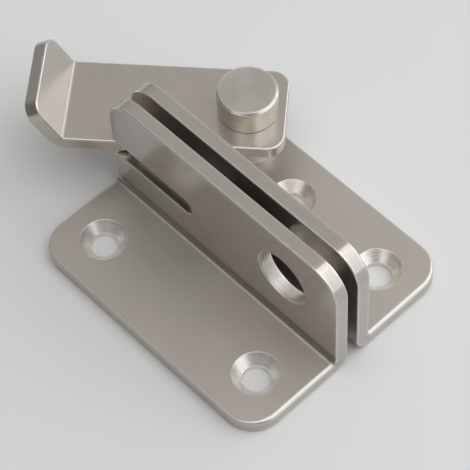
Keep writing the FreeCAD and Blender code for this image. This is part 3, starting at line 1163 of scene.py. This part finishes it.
@dataclass
class Turned:
    """A lathe-turned piece: a rounded profile carried round the pivot's axis."""

    axis: tuple[float, float] = (-17.0 * MM, 5.75 * MM)
    steps: int = 144
    profile_steps: tuple[int, int] = (6, 10)
    rub_reach: float = 0.3 * MM

    def outline(self) -> tuple[np.ndarray, np.ndarray, bool]:
        """Corners and radii of the half profile, and whether it is a closed ring."""
        raise NotImplementedError

    def build(self, name: str) -> bpy.types.Object:
        """Spin the profile round the axis.

        A point is radius * (cos, sin) of the angle round the axis, at the profile's height. Rows
        on the axis are a single point, so the ends are closed.

        Args:
            name: the piece's name.

        Returns:
            The finished object.
        """
        corners, radii, ring = self.outline()
        profile = rounded_line(corners, radii, ring, Facing.LEFT, *self.profile_steps)
        angles = FULL_TURN * np.arange(self.steps) / self.steps
        radius, height = profile.points.T
        outward = np.column_stack((np.cos(angles), np.sin(angles)))
        places = np.empty((len(radius), self.steps, 3))
        places[..., :2] = radius[:, None, None] * outward[None]
        places[..., 2] = height[:, None]
        normals = np.empty_like(places)
        normals[..., :2] = profile.normals[:, 0][:, None, None] * outward[None]
        normals[..., 2] = profile.normals[:, 1][:, None]
        edge = rubbed_share(profile, corners if ring else corners[1:-1], self.rub_reach)
        none = np.zeros_like(edge)
        marks = np.column_stack((edge, none, none + 1, none))
        skin = Skin()
        spread = np.broadcast_to(marks[:, None, :], (*places.shape[:2], len(MARKS)))
        numbers = skin.add_points(places, normals, places[..., :2], spread)
        poles = radius < NO_LENGTH
        numbers[poles] = numbers[poles][:, :1]
        numbers = np.hstack((numbers, numbers[:, :1]))
        if ring:
            numbers = np.vstack((numbers, numbers[:1]))
        around = np.append(angles, FULL_TURN) * radius.max()
        rim = np.stack(np.meshgrid(around, profile.lengths), axis=-1)
        skin.add_grid(numbers, rim)
        return skin.mesh_object(name, 0.0, (*self.axis, 0.0))


@dataclass
class PivotPin(Turned):
    """The pin: knob with a chamfered top, shank through the arm and sleeve, riveted tail."""

    knob_radius: float = 6.0 * MM
    knob_top: float = 20.9 * MM
    knob_bottom: float = 15.1 * MM
    chamfer: float = 0.45 * MM
    shank_radius: float = 3.0 * MM
    tail_radius: float = 4.5 * MM
    knob_rim: float = 0.12 * MM
    knob_foot_rim: float = 0.15 * MM
    shank_rim: float = 0.1 * MM
    tail_rim: float = 0.05 * MM

    def outline(self) -> tuple[np.ndarray, np.ndarray, bool]:
        """Draw the half profile from the top of the knob down to the tail.

        Returns:
            Its corners and radii, and that it is no ring.
        """
        knob, top, foot = self.knob_radius, self.knob_top, self.knob_bottom
        tail = self.tail_radius - self.shank_radius
        corners = np.array(
            ((0.0, top), (knob - self.chamfer, top), (knob, top - self.chamfer), (knob, foot),
             (self.shank_radius, foot), (self.shank_radius, tail), (self.tail_radius, 0.0),
             (0.0, 0.0))
        )
        radii = np.array(
            (0.0, self.knob_rim, self.knob_rim, self.knob_foot_rim, self.shank_rim,
             self.shank_rim, self.tail_rim, 0.0)
        )
        return corners, radii, False


@dataclass
class SpacerSleeve(Turned):
    """The sleeve round the shank that carries the arm above the base."""

    outside_radius: float = 5.0 * MM
    bore_radius: float = 3.05 * MM
    bottom: float = 3.0 * MM
    top: float = 12.0 * MM
    rim: float = 0.15 * MM

    def outline(self) -> tuple[np.ndarray, np.ndarray, bool]:
        """Draw the ring's profile, clockwise so that its left side is outside.

        Returns:
            Its corners and radii, and that it is a ring.
        """
        corners = np.array(
            ((self.bore_radius, self.top), (self.outside_radius, self.top),
             (self.outside_radius, self.bottom), (self.bore_radius, self.bottom))
        )
        return corners, np.full(len(corners), self.rim), True


# The whole padbolt


@dataclass
class Padbolt:
    """The whole padbolt: two brackets, the arm, the pin and the sleeve."""

    bracket_steel: SheetSteel = SheetSteel("satin_bracket_steel")
    arm_steel: SheetSteel = SheetSteel(
        "satin_arm_steel", roughness=0.24, anisotropy=0.3, haze=0.22, polish_roughness=0.24,
        polish=0.35, leaf_start=41.5 * MM
    )
    turned_steel: TurnedSteel = TurnedSteel("turned_pin_steel")
    arm_angle: float = math.radians(221.0)
    arm_bottom: float = 12.05 * MM
    latch_edge: float = 12.25 * MM
    keeper_edge: float = -39.25 * MM
    end_screw: float = 21.0 * MM
    inner_screw: float = 2.0 * MM
    latch_slot_depth: float = 22.174 * MM
    latch_padlock_place: float = -16.0 * MM
    rivet: Hole = Hole((17.0 * MM, 6.5 * MM), 3.03 * MM, 4.53 * MM, from_below=True)

    def sheets(self) -> dict[str, bpy.types.Object]:
        """Make the brackets and the arm, each brushed along its own direction.

        Returns:
            The three sheets, by the node that each stands for.
        """
        keeper = Bracket(screw_places=(-self.end_screw, self.end_screw))
        latch = Bracket(
            slot_side=SlotSide.RIGHT,
            slot_depth=self.latch_slot_depth,
            screw_places=(-self.end_screw, self.inner_screw),
            padlock_place=self.latch_padlock_place,
            rivet=self.rivet,
        )
        strip = LatchArm()
        pivot = Turned().axis
        shift = (
            pivot[0] - math.cos(self.arm_angle) * strip.heel,
            pivot[1] - math.sin(self.arm_angle) * strip.heel,
            self.arm_bottom,
        )
        front, back = (0.0, self.keeper_edge, 0.0), (0.0, self.latch_edge, 0.0)
        made = {
            "keeper_bracket": keeper.build("keeper_bracket_sheet", 0.0, front),
            "latch_bracket": latch.build("latch_bracket_sheet", math.pi, back),
            "latch_arm": strip.build("latch_arm_sheet", self.arm_angle - math.pi / 2, shift),
        }
        for piece, angle in zip(made.values(), (0.0, 0.0, self.arm_angle)):
            brush(piece, angle)
        return made

    def dress(
        self, piece: bpy.types.Object, finish: bpy.types.Material, body: str, node: str
    ) -> None:
        """Give a piece its finish, and let it ride on a body and stand for a node.

        Args:
            piece: the piece.
            finish: its material.
            body: the body that it moves with.
            node: the solid that it stands for.
        """
        piece.data.materials.append(finish)
        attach(piece, body)
        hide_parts(node)

    def build(self) -> dict[str, bpy.types.Object]:
        """Make the five pieces and dress them.

        Returns:
            The pieces, by the node that each stands for.
        """
        bracket, arm, turned = (
            finish.material() for finish in (self.bracket_steel, self.arm_steel, self.turned_steel)
        )
        made = self.sheets()
        made["pivot_pin"] = PivotPin().build("pivot_pin_turned")
        made["spacer_sleeve"] = SpacerSleeve().build("spacer_sleeve_turned")
        for node, finish, body, slot in (
            ("keeper_bracket", bracket, "brackets", "bracket_steel"),
            ("latch_bracket", bracket, "brackets", "bracket_steel"),
            ("latch_arm", arm, "arm", "arm_steel"),
            ("pivot_pin", turned, "brackets", "turned_steel"),
            ("spacer_sleeve", turned, "brackets", "turned_steel"),
        ):
            self.dress(made[node], finish, body, node)
        return made


def report(piece: bpy.types.Object, node: str) -> None:
    """Log how many triangles a piece has and how well its box fits its solid's.

    Args:
        piece: the finished piece.
        node: the solid that it stands for.
    """
    low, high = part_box(node)
    corners = np.empty(len(piece.data.vertices) * 3, np.float32)
    piece.data.vertices.foreach_get("co", corners)
    corners = corners.reshape(-1, 3)
    off = max(np.abs(corners.min(0) - low).max(), np.abs(corners.max(0) - high).max())
    count = len(piece.data.polygons)
    LOG.info("%s: %d triangles, %.3f mm off its solid's box", piece.name, count, off / MM)


# The studio


@dataclass(frozen=True)
class SoftLamp:
    """A soft lamp box, width by height; its azimuth counts from +X towards +Y, in degrees."""

    name: str
    azimuth: float
    elevation: float
    distance: float
    size: tuple[float, float]
    power: float
    colour: Triple = (1.0, 1.0, 1.0)

    def hang(self, target: Vector) -> None:
        """Hang the lamp so that it looks at a target.

        Args:
            target: the place that it looks at.
        """
        azimuth, elevation = math.radians(self.azimuth), math.radians(self.elevation)
        level = math.cos(elevation)
        away = Vector((math.cos(azimuth) * level, math.sin(azimuth) * level, math.sin(elevation)))
        light = bpy.data.lights.new(self.name, "AREA")
        light.shape = "RECTANGLE"
        light.size, light.size_y = self.size
        light.energy = self.power
        light.color = self.colour
        lamp = into_scene(self.name, light)
        lamp.location = target + away * self.distance
        lamp.rotation_euler = (-away).to_track_quat("-Z", "Y").to_euler()


@dataclass(frozen=True)
class Studio:
    """Pale floor, soft lamps, plain world and the camera at the photograph's viewing angle."""

    focal_length: float = 164.87
    sensor_width: float = 36.0
    clip_range: tuple[float, float] = (0.01, 20.0)
    azimuth: float = math.radians(49.173)
    elevation: float = math.radians(56.369)
    roll: float = math.radians(-3.707)
    distance: float = 0.416415
    target: Triple = (-5.315 * MM, -9.782 * MM, 0.0)
    floor_size: float = 6.0
    floor_lines: int = 9
    floor_tone: Triple = (0.72, 0.72, 0.715)
    floor_roughness: float = 0.9
    floor_specular: float = 0.1
    lamp_target: Triple = (0.0, -0.01, 0.01)
    lamps: tuple[SoftLamp, ...] = (
        SoftLamp("key_lamp", 29.0, 34.0, 0.9, (1.05, 1.20), 4.8, (0.94, 0.97, 1.0)),
        SoftLamp("rear_lamp", 80.0, 26.0, 0.9, (0.48, 0.66), 1.75, (0.92, 0.96, 1.0)),
        SoftLamp("top_lamp", 318.0, 80.0, 0.8, (0.8, 0.8), 2.55),
    )
    world_tone: Triple = (1.0, 0.985, 0.965)
    world_way: Triple = (-0.35, 0.70, 0.62)
    world_base: float = 0.18
    world_lift: float = 0.38

    def place_camera(self) -> None:
        """Set the camera: back is the way from the target to it, and roll turns it about that."""
        level = math.cos(self.elevation)
        back = Vector(
            (math.sin(self.azimuth) * level, -math.cos(self.azimuth) * level,
             math.sin(self.elevation))
        )
        side = Vector((math.cos(self.azimuth), math.sin(self.azimuth), 0.0))
        above = back.cross(side)
        cosine, sine = math.cos(self.roll), math.sin(self.roll)
        right, up = side * cosine + above * sine, above * cosine - side * sine
        lens = bpy.data.cameras.new("camera")
        lens.lens = self.focal_length
        lens.sensor_width = self.sensor_width
        lens.clip_start, lens.clip_end = self.clip_range
        matrix = Matrix((right, up, back)).transposed().to_4x4()
        matrix.translation = Vector(self.target) + back * self.distance
        camera = into_scene("camera", lens)
        camera.matrix_world = matrix
        bpy.context.scene.camera = camera

    def lay_floor(self) -> None:
        """Lay the floor as a grid whose height is zero all over."""
        half, lines = self.floor_size / 2, self.floor_lines
        line = np.linspace(-half, half, lines)
        grid = np.stack(np.meshgrid(line, line), axis=-1).reshape(-1, 2)
        places = np.column_stack((grid, np.zeros(len(grid))))
        numbers = np.arange(len(grid)).reshape(lines, lines)
        a, b, c, d = numbers[:-1, :-1], numbers[:-1, 1:], numbers[1:, 1:], numbers[1:, :-1]
        mesh = bpy.data.meshes.new("floor")
        mesh.from_pydata(places, [], np.stack((a, b, c, d), 2).reshape(-1, 4))
        floor = into_scene("floor", mesh)
        made, bench = new_material("pale_floor")
        inputs = {
            "Base Color": (*self.floor_tone, 1),
            "Roughness": self.floor_roughness,
            "Specular IOR Level": self.floor_specular,
        }
        bench.show(bench.add("ShaderNodeBsdfPrincipled", {}, inputs))
        mesh.materials.append(made)

    def light(self) -> None:
        """Hang the lamps and fill the world with plain light that is a little dimmer in front.

        The world's strength is base + lift * the smooth step of a direction's part along the
        world's bright way.
        """
        for lamp in self.lamps:
            lamp.hang(Vector(self.lamp_target))
        scene = bpy.context.scene
        scene.world = bpy.data.worlds.new("studio")
        scene.world.use_nodes = True
        bench = Bench(scene.world.node_tree)
        way = bench.add("ShaderNodeTexCoord", {}, {}, "Generated")
        settings = {"operation": "DOT_PRODUCT"}
        rise = bench.add("ShaderNodeVectorMath", settings, {0: way, 1: self.world_way}, 1)
        strength = self.world_base + rise.ramped(0.0, 1.0) * self.world_lift
        inputs = {"Color": (*self.world_tone, 1), "Strength": strength}
        bench.show(bench.add("ShaderNodeBackground", {}, inputs), Shown.WORLD)
        scene.view_settings.view_transform = "Standard"


def main() -> None:
    """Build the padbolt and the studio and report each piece."""
    logging.basicConfig(level=logging.INFO, format="%(name)s: %(message)s")
    for node, piece in Padbolt().build().items():
        report(piece, node)
    studio = Studio()
    studio.lay_floor()
    studio.light()
    studio.place_camera()


if __name__ == "__main__":
    main()
